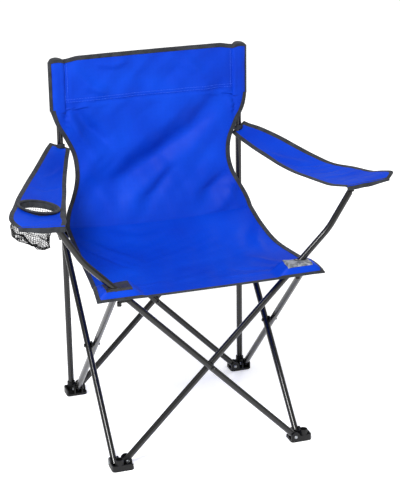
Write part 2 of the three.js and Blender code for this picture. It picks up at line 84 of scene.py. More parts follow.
# ---- measures of the sewing, mm ------------------------------------------------------------------
CLOTH = 0.9
ARM_CLOTH = 2.2
TAPE_WIDTH = 9.0
TAPE_LAP = 1
TAPE_THICK = 2.8
FRONT_TAPE_WIDTH = 7.0
SLEEVE_FROM = 704
SLEEVE_SEAM_X = 196.5
SLEEVE_EDGE_X = 231
SLEEVE_HALF_DEPTH = 10.2
# the sleeve's seam stands this far before the middle of the post, and the panel laps into it
SEAM_FORWARD = 4.5
SEAM_LAP = 3
# the sleeve's cloth and its side tape stop short of its own top edge, inside the tape across the top
SLEEVE_CLOTH_SHORT, SLEEVE_TAPE_SHORT = 2, 3
BACK_TOP = 821
HEADER_SEAM = 720
HEADER_ROW_GAP = 6
# the length of the stitch rows beside the sleeves
UPRIGHT_ROW = 88
CREASE_Z = 445
CREASE_SAG = 11
# half width of the back by height, from the crease up to the sleeves
BACK_SIDE = [(445, 222), (470, 217), (500, 201), (530, 189), (560, 184), (600, 188), (640, 205), (670, 221),
             (700, 229.5), (705, 230)]
# how far back the back's edge stands, by height
BACK_EDGE_Y = [(445, 149), (500, 174), (560, 191), (620, 197), (704, 200), (821, 204)]
# the seat from its front edge to the crease: (y, half width, edge height, middle height)
SEAT_LINE = [(-227, 251, 411, 411), (-190, 247, 415, 407), (-110, 236, 412, 399), (-8, 226, 411, 396),
             (80, 223, 425, 407), (149, 222, 445, 436)]
SEAT_FRONT, SEAT_REAR = SEAT_LINE[0][0], SEAT_LINE[-1][0]
# the cloth lies over the corner mouldings: x from, x to, y from, y to, and the height they hold it at
CORNER_REST = (176, 226, -216, -184, 431.5)
# and comes down from there over these distances
CORNER_FALL = {"inner": 34, "outer": 30, "front": 11.5, "rear": 46}


def along(table, value, column=1):
    """The table's column at that value, eased between its rows so that the line has no corners."""
    if value <= table[0][0]:
        return table[0][column]
    for before, after in zip(table, table[1:]):
        if value <= after[0]:
            i = table.index(before)
            first = table[max(i - 1, 0)]
            last = table[min(i + 2, len(table) - 1)]
            t = (value - before[0]) / (after[0] - before[0])
            span = after[0] - before[0]
            slope_a = (after[column] - first[column]) / (after[0] - first[0]) * span
            slope_b = (last[column] - before[column]) / (last[0] - before[0]) * span
            t2, t3 = t * t, t * t * t
            return (before[column] * (2 * t3 - 3 * t2 + 1) + slope_a * (t3 - 2 * t2 + t)
                    + after[column] * (3 * t2 - 2 * t3) + slope_b * (t3 - t2))
    return table[-1][column]


def smooth(low, high, value):
    """0 below low, 1 above high, eased between."""
    t = min(1, max(0, (value - low) / (high - low)))
    return t * t * (3 - 2 * t)


# ---- materials ----------------------------------------------------------------------------------
def linear(hex_colour):
    """An sRGB hex colour as linear red, green, blue, alpha."""
    channels = [int(hex_colour[i:i + 2], 16) / 255 for i in (0, 2, 4)]
    return [c / 12.92 if c <= 0.04045 else ((c + 0.055) / 1.055) ** 2.4 for c in channels] + [1]


def node(tree, kind, settings=None, inputs=None, **links):
    """Adds a shader node, sets its properties and sockets, and links sockets given by name."""
    made = tree.nodes.new(kind)
    for name, value in (settings or {}).items():
        setattr(made, name, value)
    for name, value in (inputs or {}).items():
        made.inputs[name].default_value = value
    for name, source in links.items():
        tree.links.new(source, made.inputs[name.replace("_", " ")])
    return made


def new_material(name, **shader):
    material = bpy.data.materials.new(name)
    material.use_nodes = True
    bsdf = material.node_tree.nodes["Principled BSDF"]
    for socket, value in shader.items():
        bsdf.inputs[socket.replace("_", " ")].default_value = value
    return material, material.node_tree, bsdf


def ramp(tree, factor, stops):
    made = node(tree, "ShaderNodeValToRGB", Fac=factor)
    elements = made.color_ramp.elements
    while len(elements) < len(stops):
        elements.new(0.5)
    for element, (at, colour) in zip(elements, stops):
        element.position = at
        element.color = colour
    return made


# a wave texture of scale 1 has a wave every 2 pi / 20 of its own units, so this over a spacing is a scale
WAVE_METRE = 2 * math.pi / 20


def woven_polyester():
    """Coated 600-denier polyester, plain weave: dyed a deep blue, with a faint sheen, a slight check
    along its threads, unevenness of dye and soft handling creases."""
    material, tree, bsdf = new_material("woven_polyester_oxford", Roughness=0.55, Sheen_Weight=0.05,
                                        Sheen_Roughness=0.4, Specular_IOR_Level=0.11)
    bsdf.inputs["Sheen Tint"].default_value = linear("3f6cff")
    place = node(tree, "ShaderNodeTexCoord").outputs["Object"]
    # the dye is uneven in clouds about 140 mm across
    cloud = node(tree, "ShaderNodeTexNoise", inputs={"Scale": 7, "Detail": 3, "Roughness": 0.5}, Vector=place)
    dye = ramp(tree, cloud.outputs["Fac"], [(0.3, linear("0030ab")), (0.5, linear("0037b5")),
                                            (0.72, linear("013fc0"))])
    uv = node(tree, "ShaderNodeUVMap", settings={"uv_map": "UVMap"}).outputs["UV"]
    # a check every 10 mm: much coarser than the real 0.5 mm threads, which are too fine to show
    threads = []
    for direction in ("X", "Y"):
        threads.append(node(tree, "ShaderNodeTexWave", settings={"bands_direction": direction},
                            inputs={"Scale": WAVE_METRE / (10.106 * MM), "Distortion": 0.4,
                                    "Detail": 1, "Detail Scale": 2}, Vector=uv))
    weave = node(tree, "ShaderNodeMath", settings={"operation": "ADD"})
    tree.links.new(threads[0].outputs["Fac"], weave.inputs[0])
    tree.links.new(threads[1].outputs["Fac"], weave.inputs[1])
    shade = node(tree, "ShaderNodeMixRGB", settings={"blend_type": "MULTIPLY"}, inputs={"Fac": 0.05},
                 Color1=dye.outputs["Color"])
    dim = ramp(tree, weave.outputs[0], [(0.35, linear("b9b9b9")), (1.0, linear("ffffff"))])
    tree.links.new(dim.outputs["Color"], shade.inputs["Color2"])
    tree.links.new(shade.outputs["Color"], bsdf.inputs["Base Color"])
    # creases from handling, about 40 mm apart
    creases = node(tree, "ShaderNodeTexNoise", inputs={"Scale": 26, "Detail": 5, "Roughness": 0.6,
                                                      "Distortion": 0.8}, Vector=place)
    soft = node(tree, "ShaderNodeBump", inputs={"Strength": 0.28, "Distance": 1.6 * MM},
                Height=creases.outputs["Fac"])
    fine = node(tree, "ShaderNodeBump", inputs={"Strength": 0.2, "Distance": 0.15 * MM},
                Height=weave.outputs[0], Normal=soft.outputs["Normal"])
    tree.links.new(fine.outputs["Normal"], bsdf.inputs["Normal"])
    return material


def binding_tape():
    """Grosgrain polyester tape, folded over the edge and lock-stitched: charcoal, ribbed across."""
    material, tree, bsdf = new_material("grosgrain_binding_tape", Roughness=0.7, Sheen_Weight=0.05,
                                        Specular_IOR_Level=0.2)
    uv = node(tree, "ShaderNodeUVMap", settings={"uv_map": "UVMap"}).outputs["UV"]
    # ribs 9.4 mm apart along the tape: coarser than the real 1.5 mm ones, which are too fine to show
    ribs = node(tree, "ShaderNodeTexWave", settings={"bands_direction": "Y"},
                inputs={"Scale": WAVE_METRE / (9.425 * MM), "Distortion": 0.2}, Vector=uv)
    place = node(tree, "ShaderNodeTexCoord").outputs["Object"]
    wear = node(tree, "ShaderNodeTexNoise", inputs={"Scale": 60, "Detail": 4}, Vector=place)
    colour = ramp(tree, wear.outputs["Fac"], [(0.3, linear("202226")), (0.7, linear("33363b"))])
    tree.links.new(colour.outputs["Color"], bsdf.inputs["Base Color"])
    bump = node(tree, "ShaderNodeBump", inputs={"Strength": 0.5, "Distance": 0.4 * MM},
                Height=ribs.outputs["Fac"])
    tree.links.new(bump.outputs["Normal"], bsdf.inputs["Normal"])
    return material


def powder_coat():
    """Steel tube, powder coated gloss black: a thick glassy skin with a faint orange peel."""
    material, tree, bsdf = new_material("gloss_black_powder_coat", Coat_Weight=0.35, Coat_Roughness=0.06,
                                        Specular_IOR_Level=0.3)
    place = node(tree, "ShaderNodeTexCoord").outputs["Object"]
    cloud = node(tree, "ShaderNodeTexNoise", inputs={"Scale": 14, "Detail": 5}, Vector=place)
    colour = ramp(tree, cloud.outputs["Fac"], [(0.35, linear("060606")), (0.7, linear("0e0e0f"))])
    rough = node(tree, "ShaderNodeMapRange", inputs={"To Min": 0.2, "To Max": 0.32},
                 Value=cloud.outputs["Fac"])
    # orange peel with dimples about 2 mm across
    peel = node(tree, "ShaderNodeTexNoise", inputs={"Scale": 1 / (2 * MM), "Detail": 1}, Vector=place)
    bump = node(tree, "ShaderNodeBump", inputs={"Strength": 0.12, "Distance": 0.1 * MM},
                Height=peel.outputs["Fac"])
    tree.links.new(colour.outputs["Color"], bsdf.inputs["Base Color"])
    tree.links.new(rough.outputs["Result"], bsdf.inputs["Roughness"])
    tree.links.new(bump.outputs["Normal"], bsdf.inputs["Normal"])
    return material


def moulded_nylon():
    """Glass-filled nylon, injection moulded: near black, satin, finely spark-eroded."""
    material, tree, bsdf = new_material("moulded_nylon_black", Specular_IOR_Level=0.28)
    place = node(tree, "ShaderNodeTexCoord").outputs["Object"]
    cloud = node(tree, "ShaderNodeTexNoise", inputs={"Scale": 35, "Detail": 6}, Vector=place)
    colour = ramp(tree, cloud.outputs["Fac"], [(0.35, linear("0a0a0b")), (0.7, linear("151516"))])
    rough = node(tree, "ShaderNodeMapRange", inputs={"To Min": 0.38, "To Max": 0.6},
                 Value=cloud.outputs["Fac"])
    grain = node(tree, "ShaderNodeTexVoronoi", inputs={"Scale": 1 / (0.8 * MM)}, Vector=place)
    bump = node(tree, "ShaderNodeBump", inputs={"Strength": 0.15, "Distance": 0.1 * MM},
                Height=grain.outputs["Distance"])
    tree.links.new(colour.outputs["Color"], bsdf.inputs["Base Color"])
    tree.links.new(rough.outputs["Result"], bsdf.inputs["Roughness"])
    tree.links.new(bump.outputs["Normal"], bsdf.inputs["Normal"])
    return material


def zinc_plate():
    """Zinc-plated steel rivet: pale grey metal, softly mottled where it was hammered."""
    material, tree, bsdf = new_material("zinc_plated_rivet", Metallic=1.0)
    place = node(tree, "ShaderNodeTexCoord").outputs["Object"]
    spangle = node(tree, "ShaderNodeTexVoronoi", inputs={"Scale": 1 / (2.5 * MM)}, Vector=place)
    colour = ramp(tree, spangle.outputs["Distance"], [(0.0, linear("6f7275")), (0.8, linear("a4a7aa"))])
    rough = node(tree, "ShaderNodeMapRange", inputs={"To Min": 0.25, "To Max": 0.5},
                 Value=spangle.outputs["Distance"])
    tree.links.new(colour.outputs["Color"], bsdf.inputs["Base Color"])
    tree.links.new(rough.outputs["Result"], bsdf.inputs["Roughness"])
    return material


def knitted_net():
    """Knitted polyester net: soft black yarn, fuzzy and slightly dusty."""
    material, tree, bsdf = new_material("knitted_net_yarn", Roughness=0.75, Sheen_Weight=0.05,
                                        Specular_IOR_Level=0.2)
    place = node(tree, "ShaderNodeTexCoord").outputs["Object"]
    fuzz = node(tree, "ShaderNodeTexNoise", inputs={"Scale": 1 / (3 * MM), "Detail": 3}, Vector=place)
    colour = ramp(tree, fuzz.outputs["Fac"], [(0.35, linear("050505")), (0.7, linear("161617"))])
    tree.links.new(colour.outputs["Color"], bsdf.inputs["Base Color"])
    return material


def coated_patch(name, dark, light, roughness):
    """Vinyl-coated reinforcing patch, lightly scuffed, sewn on round its edge. Given pale colours, the patch is a
    painted reflection: the shine of a glossy dark patch painted into its colour.
    """
    material, tree, bsdf = new_material(name, Roughness=roughness, Specular_IOR_Level=0.6)
    place = node(tree, "ShaderNodeTexCoord").outputs["Object"]
    # the mottle is scuffs on the dark patch; on the pale grey patch its paler flecks are painted glints
    scuffs_and_painted_glint = node(tree, "ShaderNodeTexNoise", inputs={"Scale": 70, "Detail": 5, "Distortion": 1.2},
                 Vector=place)
    colour = ramp(tree, scuffs_and_painted_glint.outputs["Fac"], [(0.35, linear(dark)), (0.7, linear(light))])
    bump = node(tree, "ShaderNodeBump", inputs={"Strength": 0.3, "Distance": 0.5 * MM},
                Height=scuffs_and_painted_glint.outputs["Fac"])
    tree.links.new(colour.outputs["Color"], bsdf.inputs["Base Color"])
    tree.links.new(bump.outputs["Normal"], bsdf.inputs["Normal"])
    return material


def sewing_thread():
    """Bonded polyester thread, dyed to the cloth: a little paler, with a painted shine: paler flecks in its colour
    stand in for the light on its twist.
    """
    material, tree, bsdf = new_material("bonded_polyester_thread", Roughness=0.45, Specular_IOR_Level=0.3)
    place = node(tree, "ShaderNodeTexCoord").outputs["Object"]
    painted_shine_flecks = node(tree, "ShaderNodeTexNoise", inputs={"Scale": 1 / (1.5 * MM)}, Vector=place)
    # painted highlight: the ramp's pale end, laid in flecks, stands in for the shine on the thread's twist; the
    # darker end is the thread's own paler blue
    colour = ramp(tree, painted_shine_flecks.outputs["Fac"], [(0.35, linear("0a3fce")), (0.7, linear("3f74ec"))])
    tree.links.new(colour.outputs["Color"], bsdf.inputs["Base Color"])
    return material


FABRIC = woven_polyester()
THREAD = sewing_thread()
TAPE = binding_tape()
STEEL = powder_coat()
NYLON = moulded_nylon()
ZINC = zinc_plate()
NET = knitted_net()
# painted reflection: the right patch is painted pale grey, standing in for the glossy reflection on a dark patch
# like the left one
PATCH_PAINTED_REFLECTION = coated_patch("vinyl_patch_painted_reflection", "3c4047", "a4a8ae", 0.4)
PATCH_BLACK = coated_patch("vinyl_patch_black", "131315", "2a2a2d", 0.5)


# ---- making pieces ------------------------------------------------------------------------------
def finish_piece(name, bm, material, body, cad=(), sharp=math.radians(40)):
    """Turns the bmesh into an object in place, smooth but for its sharp edges, riding on a body."""
    for face in bm.faces:
        face.smooth = True
    for edge in bm.edges:
        edge.smooth = not edge.is_boundary and edge.calc_face_angle(0) < sharp
    mesh = bpy.data.meshes.new(name)
    bm.to_mesh(mesh)
    bm.free()
    piece = bpy.data.objects.new(name, mesh)
    bpy.context.scene.collection.objects.link(piece)
    mesh.materials.append(material)
    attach(piece, body)
    if cad:
        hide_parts(*cad)
    return piece


def solidify(piece, thickness):
    made = piece.modifiers.new("thickness", "SOLIDIFY")
    made.thickness = thickness * MM
    made.offset = 0
    return piece


def round_edges(piece, width):
    made = piece.modifiers.new("rounded", "BEVEL")
    made.width = width * MM
    made.segments = 2
    made.limit_method = "ANGLE"
    made.angle_limit = math.radians(35)
    return piece


def grid(columns, rows, place, closed=False):
    """A bmesh grid laid out by place(u, v), u and v from 0 to 1, with its UVs in metres of cloth.
    place gives millimetres, with heights as in the tables."""
    bm = bmesh.new()
    uv = bm.loops.layers.uv.new("UVMap")
    bmesh.ops.create_grid(bm, x_segments=columns, y_segments=rows, size=0.5)
    size = ((place(1, 0.5) - place(0.5, 0.5)).length * 2, (place(0.5, 1) - place(0.5, 0)).length)
    at = {vert: (vert.co.x + 0.5, vert.co.y + 0.5) for vert in bm.verts}
    for face in bm.faces:
        for loop in face.loops:
            u, v = at[loop.vert]
            loop[uv].uv = (u * size[0] * MM, v * size[1] * MM)
    for vert, (u, v) in at.items():
        vert.co = (place(u, v) + LIFT) * MM
    if closed:
        bmesh.ops.remove_doubles(bm, verts=bm.verts, dist=0.02 * MM)
    return bm


def closed_tube(around, section, place):
    """A ring of round section, closed both ways."""
    bm = grid(around, section, place, closed=True)
    bmesh.ops.recalc_face_normals(bm, faces=bm.faces)
    return bm


def tape_inset(u):
    """How far in from the cloth's edge a point across a tape lies; the tape laps over the edge."""
    return u * (TAPE_WIDTH + TAPE_LAP) - TAPE_LAP


def tape(name, across, length, place, body, thick=TAPE_THICK):
    piece = finish_piece(name, grid(across, length, place), TAPE, body)
    solidify(piece, thick)
    return round_edges(piece, 0.9)


def stitches(name, count, row, body):
    """A row of lock stitches along row(share), each a short bar of thread lying on the cloth."""
    bm = bmesh.new()
    for i in range(count):
        start, end = (row((i + part) / count) + LIFT for part in (0.2, 0.8))
        run = (end - start) * MM
        turn = run.to_track_quat("X", "Z").to_matrix().to_4x4()
        place = Matrix.Translation((start + end) / 2 * MM) @ turn
        size = Matrix.Diagonal((run.length, 0.8 * MM, 0.7 * MM, 1))
        bmesh.ops.create_cube(bm, size=1, matrix=place @ size)
    return finish_piece(name, bm, THREAD, body)


def folds(point, direction, length, width, height, seed):
    """Soft folds that run along a direction, as a height in mm at that point."""
    along_fold = point[0] * direction[0] + point[1] * direction[1]
    across_fold = point[0] * -direction[1] + point[1] * direction[0]
    return height * noise.noise(Vector((along_fold / length, across_fold / width, seed)))


def creased(point, lines):
    """Height in mm at a point of the single folds that follow each (width, height, points) line, and
    fade towards the line's ends."""
    total = 0.0
    here = Vector(point)
    for width, height, *stops in lines:
        nearest, share = 1e9, 0
        for i, (a, b) in enumerate(zip(stops, stops[1:])):
            a, b = Vector(a), Vector(b)
            t = min(1, max(0, (here - a).dot(b - a) / (b - a).length_squared))
            distance = (here - a.lerp(b, t)).length
            if distance < nearest:
                nearest, share = distance, (i + t) / (len(stops) - 1)
        if nearest < 3 * width:
            fade = math.sin(math.pi * (0.06 + 0.88 * share)) ** 0.7
            total += height * math.exp(-(nearest / width) ** 2) * fade
    return total


# ---- the back -----------------------------------------------------------------------------------
# folds of the back, in x and z: pulls that run down from the sleeves and gathers at the crease
BACK_FOLDS = [
    (26, -9, (165, 703), (100, 632), (28, 579), (-69, 530), (-165, 508)),
    (32, 5, (110, 708), (40, 660), (-40, 610), (-130, 570), (-185, 560)),
    (24, 5, (165, 655), (92, 590), (15, 540), (-70, 490)),
    (13, -4.5, (45, 545), (0, 500), (-62, 449)),
    (15, -6, (195, 528), (128, 486), (66, 449)),
    (9, 3.5, (205, 505), (160, 470), (115, 449)),
    (5, -3, (183, 500), (206, 476), (222, 452)),
    (5, 2.5, (172, 486), (192, 462), (214, 447)),
    (5, -2.5, (158, 474), (182, 450)),
    (13, -6, (-176, 706), (-148, 659), (-105, 612)),
    (10, 4, (-190, 690), (-170, 640), (-130, 590)),
    (12, 4, (-176, 796), (-140, 750), (-95, 732)),
    (9, 3, (-130, 803), (-85, 795), (-50, 802)),
    (22, -3.5, (-60, 770), (20, 752), (90, 770)),
    (16, 3, (60, 800), (110, 770), (150, 740)),
    (4.5, -1.6, (-186, 714), (0, 715), (186, 714)),
    (6, -4, (192, 706), (206, 684), (221, 668)),
    (6, 3, (186, 690), (200, 668), (215, 655)),
    (7, -3, (-192, 706), (-204, 684), (-214, 662)),
    (5, -2, (-216, 452), (-195, 470), (-180, 500)),
]


# the same cloth's soft ripples: direction, length, width, height and place in the noise
BACK_RIPPLES = [
    ((0.62, 0.78), 170, 36, 2.2, 1.3),
    ((-0.5, 0.87), 120, 24, 1.3, 7.7),
    ((0.8, 0.6), 60, 16, 0.5, 3.7),
]
BACK_FOLD_STRENGTH = 1.7


def sleeve_bulge(x):
    """How far the front of a sleeve stands before the middle of its post, in mm."""
    across = (abs(x) - (SLEEVE_SEAM_X + SLEEVE_EDGE_X) / 2) / ((SLEEVE_EDGE_X - SLEEVE_SEAM_X) / 2)
    return SLEEVE_HALF_DEPTH * max(0, 1 - across * across) ** 0.65


def crease_line(s):
    """Where the seat and the back are sewn together."""
    return Vector((s * BACK_SIDE[0][1], BACK_EDGE_Y[0][1], CREASE_Z - CREASE_SAG * (1 - s * s)))


def back_surface(s, z):
    """A point of the back cloth in mm; s runs from -1 at the left edge to 1, z is the edge's height."""
    half = along(BACK_SIDE, z) if z <= SLEEVE_FROM else SLEEVE_SEAM_X + SEAM_LAP
    x = s * half
    edge_y = along(BACK_EDGE_Y, z)
    hollow = 15 * math.exp(-((z - 590) / 95) ** 2) + 4 * smooth(650, 820, z)
    bow = hollow * (1 - abs(s) ** 2.2)
    # the top edge dips where the panel meets the sleeves
    dip = -5 * smooth(0.82, 1.0, abs(s)) * smooth(780, BACK_TOP, z)
    towards = creased((x, z), BACK_FOLDS) + sum(folds((x, z), *ripple) for ripple in BACK_RIPPLES)
    # folds die out at the side edges, in the crease and at the top tape
    towards *= BACK_FOLD_STRENGTH * (1 - abs(s) ** 12) * smooth(CREASE_Z, CREASE_Z + 14, z)
    towards *= 1 - 0.8 * smooth(806, BACK_TOP, z)
    point = Vector((x, edge_y + bow - towards, z + dip))
    if z <= SLEEVE_FROM and abs(x) > SLEEVE_SEAM_X:
        front = POST["left"].y / MM - sleeve_bulge(x)
        point.y += (front - point.y) * smooth(625, 700, z)
    if z > SLEEVE_FROM:
        seam = POST["left"].y / MM - SEAM_FORWARD
        point.y += (seam - point.y) * smooth(0.9, 1, abs(s))
    return point.lerp(crease_line(s), 1 - smooth(CREASE_Z, CREASE_Z + 45, z))


def make_back():
    """The back panel from the crease to its top edge, with its tapes and stitches."""
    def place(u, v):
        return back_surface(2 * u - 1, CREASE_Z + v * (BACK_TOP - CREASE_Z))
    panel = finish_piece("back_cloth", grid(110, 110, place), FABRIC, "root", ("back_panel",))
    solidify(panel, CLOTH)
    made = [panel]
    for side, sign in SIGN.items():
        def edge(u, v, sign=sign):
            z = CREASE_Z + v * (SLEEVE_FROM - CREASE_Z)
            return back_surface(sign * (1 - tape_inset(u) / along(BACK_SIDE, z)), z)
        made.append(tape(f"back_side_tape_{side}", 3, 70, edge, "root"))

    def top(u, v):
        return back_surface(2 * v - 1, BACK_TOP + TAPE_LAP - tape_inset(u))
    made.append(tape("back_top_tape", 3, 70, top, "root"))
    # the header's double hem is sewn with two rows across and two beside each sleeve
    on_cloth = Vector((0, -0.7, 0))
    for label, height in (("low", HEADER_SEAM), ("high", HEADER_SEAM + HEADER_ROW_GAP)):
        def row(share, height=height):
            return back_surface((2 * share - 1) * 0.985, height) + on_cloth
        made.append(stitches(f"header_stitches_{label}", 110, row, "root"))
    for side, sign in SIGN.items():
        for label, inset in (("inner", 8), ("outer", 3)):
            def upright(share, sign=sign, inset=inset):
                s = sign * (1 - inset / SLEEVE_SEAM_X)
                return back_surface(s, HEADER_SEAM + 2 + share * UPRIGHT_ROW) + on_cloth
            made.append(stitches(f"sleeve_stitches_{side}_{label}", 26, upright, "root"))
    for piece in made:
        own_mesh(piece)


# ---- the post sleeves ---------------------------------------------------------------------------
def seam_pull(angle):
    """How far forward the loop is drawn at that angle, most at the seam."""
    return SEAM_FORWARD * smooth(0.2, 1.0, math.cos(angle))


def sleeve_section(side, angle, grow=0.0):
    """The flattened loop round a post, from its seam (angle 0) round the front and back by the rear."""
    centre_x = (SLEEVE_SEAM_X + SLEEVE_EDGE_X) / 2
    half = (SLEEVE_EDGE_X - SLEEVE_SEAM_X) / 2 + grow
    depth = SLEEVE_HALF_DEPTH + grow
    x = centre_x - half * math.cos(angle)
    y = POST[side].y / MM - math.copysign(depth * abs(math.sin(angle)) ** 1.3, math.sin(angle))
    y -= seam_pull(angle)
    return SIGN[side] * x, y


def sleeve_top(x):
    """The top edge of a sleeve: a low hump over the post, rounded off at the outer corner."""
    out = abs(x) - SLEEVE_SEAM_X
    width = SLEEVE_EDGE_X - SLEEVE_SEAM_X
    hump = max(0, math.sin(math.pi * min(1, max(0, out / width)))) ** 0.8
    return BACK_TOP - 7.5 + 4.5 * hump - 3 * smooth(0.8, 1, out / width)


def make_sleeve(side):
    """A cloth sleeve over the top of a post, taped down its outer edge and closed across its top."""
    body = NODE_BODY[f"back_sleeve_{side}"]
    centre = POST[side].y / MM

    def loop(u, v):
        x, y = sleeve_section(side, 2 * math.pi * u)
        low = SLEEVE_FROM - 6
        z = low + v * (sleeve_top(x) - SLEEVE_CLOTH_SHORT - low)
        wave = 1.3 * noise.noise(Vector((u * 6, z / 24, SIGN[side] * 3.0)))
        return Vector((x, y - wave * smooth(0, 0.15, v), z))
    cloth = finish_piece(f"sleeve_cloth_{side}", grid(48, 40, loop, closed=True), FABRIC, body,
                         (f"back_sleeve_{side}",))
    solidify(cloth, CLOTH)

    def outer(u, v):
        angle = math.pi * (0.74 + 0.44 * u)
        x, y = sleeve_section(side, angle, 1.0)
        low = SLEEVE_FROM - 4
        z = low + v * (sleeve_top(x) - SLEEVE_TAPE_SHORT - low)
        return Vector((x, y, z))
    side_tape = tape(f"sleeve_side_tape_{side}", 10, 26, outer, body, 1.8)

    def cap(u, v):
        x, y = sleeve_section(side, 2 * math.pi * u, 1.1)
        top = sleeve_top(x)
        shut = smooth(0.72, 1, v)
        seam_y = centre - seam_pull(2 * math.pi * u)
        return Vector((x, y + (seam_y - y) * shut, top - 5 + 6.5 * min(1, v / 0.8)))
    top_tape = finish_piece(f"sleeve_top_tape_{side}", grid(48, 12, cap, closed=True), TAPE, body)
    solidify(top_tape, 1.6)


# ---- the seat -----------------------------------------------------------------------------------
# folds of the seat, in x and y: pulls from the corners towards the middle
SEAT_FOLDS = [
    (9, 2.6, (205, -196), (130, -176), (50, -168)),
    (9, -2.8, (208, -182), (140, -146), (80, -120)),
    (10, 2.2, (215, -165), (170, -110), (140, -60)),
    (9, 2.2, (-205, -192), (-150, -160), (-90, -150)),
    (9, -2.2, (-208, -178), (-160, -120), (-130, -70)),
    (12, 2.6, (-216, 120), (-150, 60), (-90, 0)),
    (8, -2.2, (-214, 90), (-160, 30), (-120, -30)),
    (16, -4, (216, 110), (176, 60), (150, -10)),
    (9, 2.4, (214, 70), (190, 20), (182, -50)),
    (8, -1.8, (-150, 140), (-60, 118), (20, 132)),
]


SEAT_RIPPLES = [((0.25, 0.97), 170, 34, 1.8, 2.2), ((0.9, 0.4), 90, 20, 1.0, 5.5)]
SEAT_FOLD_STRENGTH = 1.4


def seat_surface(s, t):
    """A point of the seat in mm; s from -1 at the left to 1, t from 0 at the front edge to 1."""
    y = SEAT_FRONT + t * (SEAT_REAR - SEAT_FRONT)
    half = along(SEAT_LINE, y, 1)
    edge = along(SEAT_LINE, y, 2)
    centre = along(SEAT_LINE, y, 3)
    x = s * half
    z = centre + (edge - centre) * abs(s) ** 2.4
    # over the corner mouldings the cloth is held up, and falls steeply in front of them
    x_from, x_to, y_from, y_to, top = CORNER_REST
    beside = (max(x_from - abs(x), 0) / CORNER_FALL["inner"]
              + max(abs(x) - x_to, 0) / CORNER_FALL["outer"])
    before = max(y_from - y, 0) / CORNER_FALL["front"]
    behind = max(y - y_to, 0) / CORNER_FALL["rear"]
    z += (top - z) * (1 - smooth(0, 1, math.hypot(beside, before, behind)))
    # the front edge bows a little forwards between the corners
    bend = -2 * (1 - s * s) * (1 - smooth(0, 0.3, t))
    wrinkle = creased((x, y), SEAT_FOLDS) + sum(folds((x, y), *ripple) for ripple in SEAT_RIPPLES)
    wrinkle *= SEAT_FOLD_STRENGTH * (1 - abs(s) ** 8) * smooth(0, 0.08, t) * (1 - smooth(0.94, 1, t))
    point = Vector((x, y + bend, z + wrinkle))
    return point.lerp(crease_line(s), smooth(0.9, 1, t))


def seat_at(x, y):
    """The point of the seat at that x and y."""
    return seat_surface(x / along(SEAT_LINE, y, 1), (y - SEAT_FRONT) / (SEAT_REAR - SEAT_FRONT))


def make_seat(side):
    """One half of the seat, from the centre line to its side edge."""
    sign = SIGN[side]
    body = f"seat_{side}"

    def half(u, v):
        return seat_surface(sign * u, v)
    panel = finish_piece(f"seat_cloth_{side}", grid(80, 150, half), FABRIC, body, (f"seat_{side}",))
    solidify(panel, CLOTH)

    def side_edge(u, v):
        share = TAPE_WIDTH / along(SEAT_LINE, SEAT_FRONT + v * (SEAT_REAR - SEAT_FRONT), 1)
        steep = (seat_surface(sign * (1 - share), v) - seat_surface(sign, v)).length / TAPE_WIDTH
        return seat_surface(sign * (1 - (u * 1.1 - 0.1) * share / steep), v)

    def front_edge(u, v):
        share = FRONT_TAPE_WIDTH / (SEAT_REAR - SEAT_FRONT)
        # on the steep corners the same width of tape covers less of the way to the rear
        steep = (seat_surface(sign * v, share) - seat_surface(sign * v, 0)).length / FRONT_TAPE_WIDTH
        return seat_surface(sign * v, (u * 1.15 - 0.15) * share / steep)

    def crease(u, v):
        return crease_line(sign * v * 0.985) + Vector((0, 1.2 - 2.4 * u, 0))
    side_tape = tape(f"seat_side_tape_{side}", 3, 70, side_edge, body)
    front_tape = tape(f"seat_front_tape_{side}", 3, 50, front_edge, body)
    ridge = finish_piece(f"crease_seam_{side}", grid(2, 50, crease), FABRIC, body)
    round_edges(solidify(ridge, 1.2), 0.5)
    made = [panel, side_tape, front_tape, ridge, *make_corner_patch(side, body)]
    for piece in made:
        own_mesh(piece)


# the patch on each corner of the seat, and the slot in it where the slanting tube comes through
PATCH_INNER_X = {"left": 173, "right": 170}
PATCH_FRONT_Y = -219
PATCH_WIDTH, PATCH_DEPTH = 56, 38
SLOT_X = 208
SLOT_HALF_WIDTH, SLOT_HALF_DEPTH = 13, 9.5


def make_corner_patch(side, body):
    """The oblong patch over the corner moulding, and the bound slot that the arm tube passes through."""
    sign = SIGN[side]

    def place(u, v):
        x, y = PATCH_INNER_X[side] + PATCH_WIDTH * u, PATCH_FRONT_Y + PATCH_DEPTH * v
        return seat_at(sign * x, y) + Vector((0, -0.6, 1.2))
    slot_y = JOINTS[ARM_TUBE_FOOT[side]].y / MM

    def slot(u, v):
        turn, around = 2 * math.pi * u, 2 * math.pi * v
        wide = 1.5 * math.cos(around)
        x = SLOT_X + (SLOT_HALF_WIDTH + wide) * math.cos(turn)
        y = slot_y + (SLOT_HALF_DEPTH + wide) * math.sin(turn)
        return seat_at(sign * x, y) + Vector((0, 0, 1.6 + 1.3 * math.sin(around)))
    eyelet = finish_piece(f"tube_slot_binding_{side}", closed_tube(32, 8, slot), TAPE, body)
    # painted reflection: the right patch takes the pale grey colour that stands in for the shine on it, the left
    # keeps the dark patch's own colour
    material = PATCH_PAINTED_REFLECTION if side == "right" else PATCH_BLACK
    patch = finish_piece(f"corner_patch_{side}", grid(16, 8, place), material, body)
    return [round_edges(solidify(patch, 1.4), 0.5), eyelet]


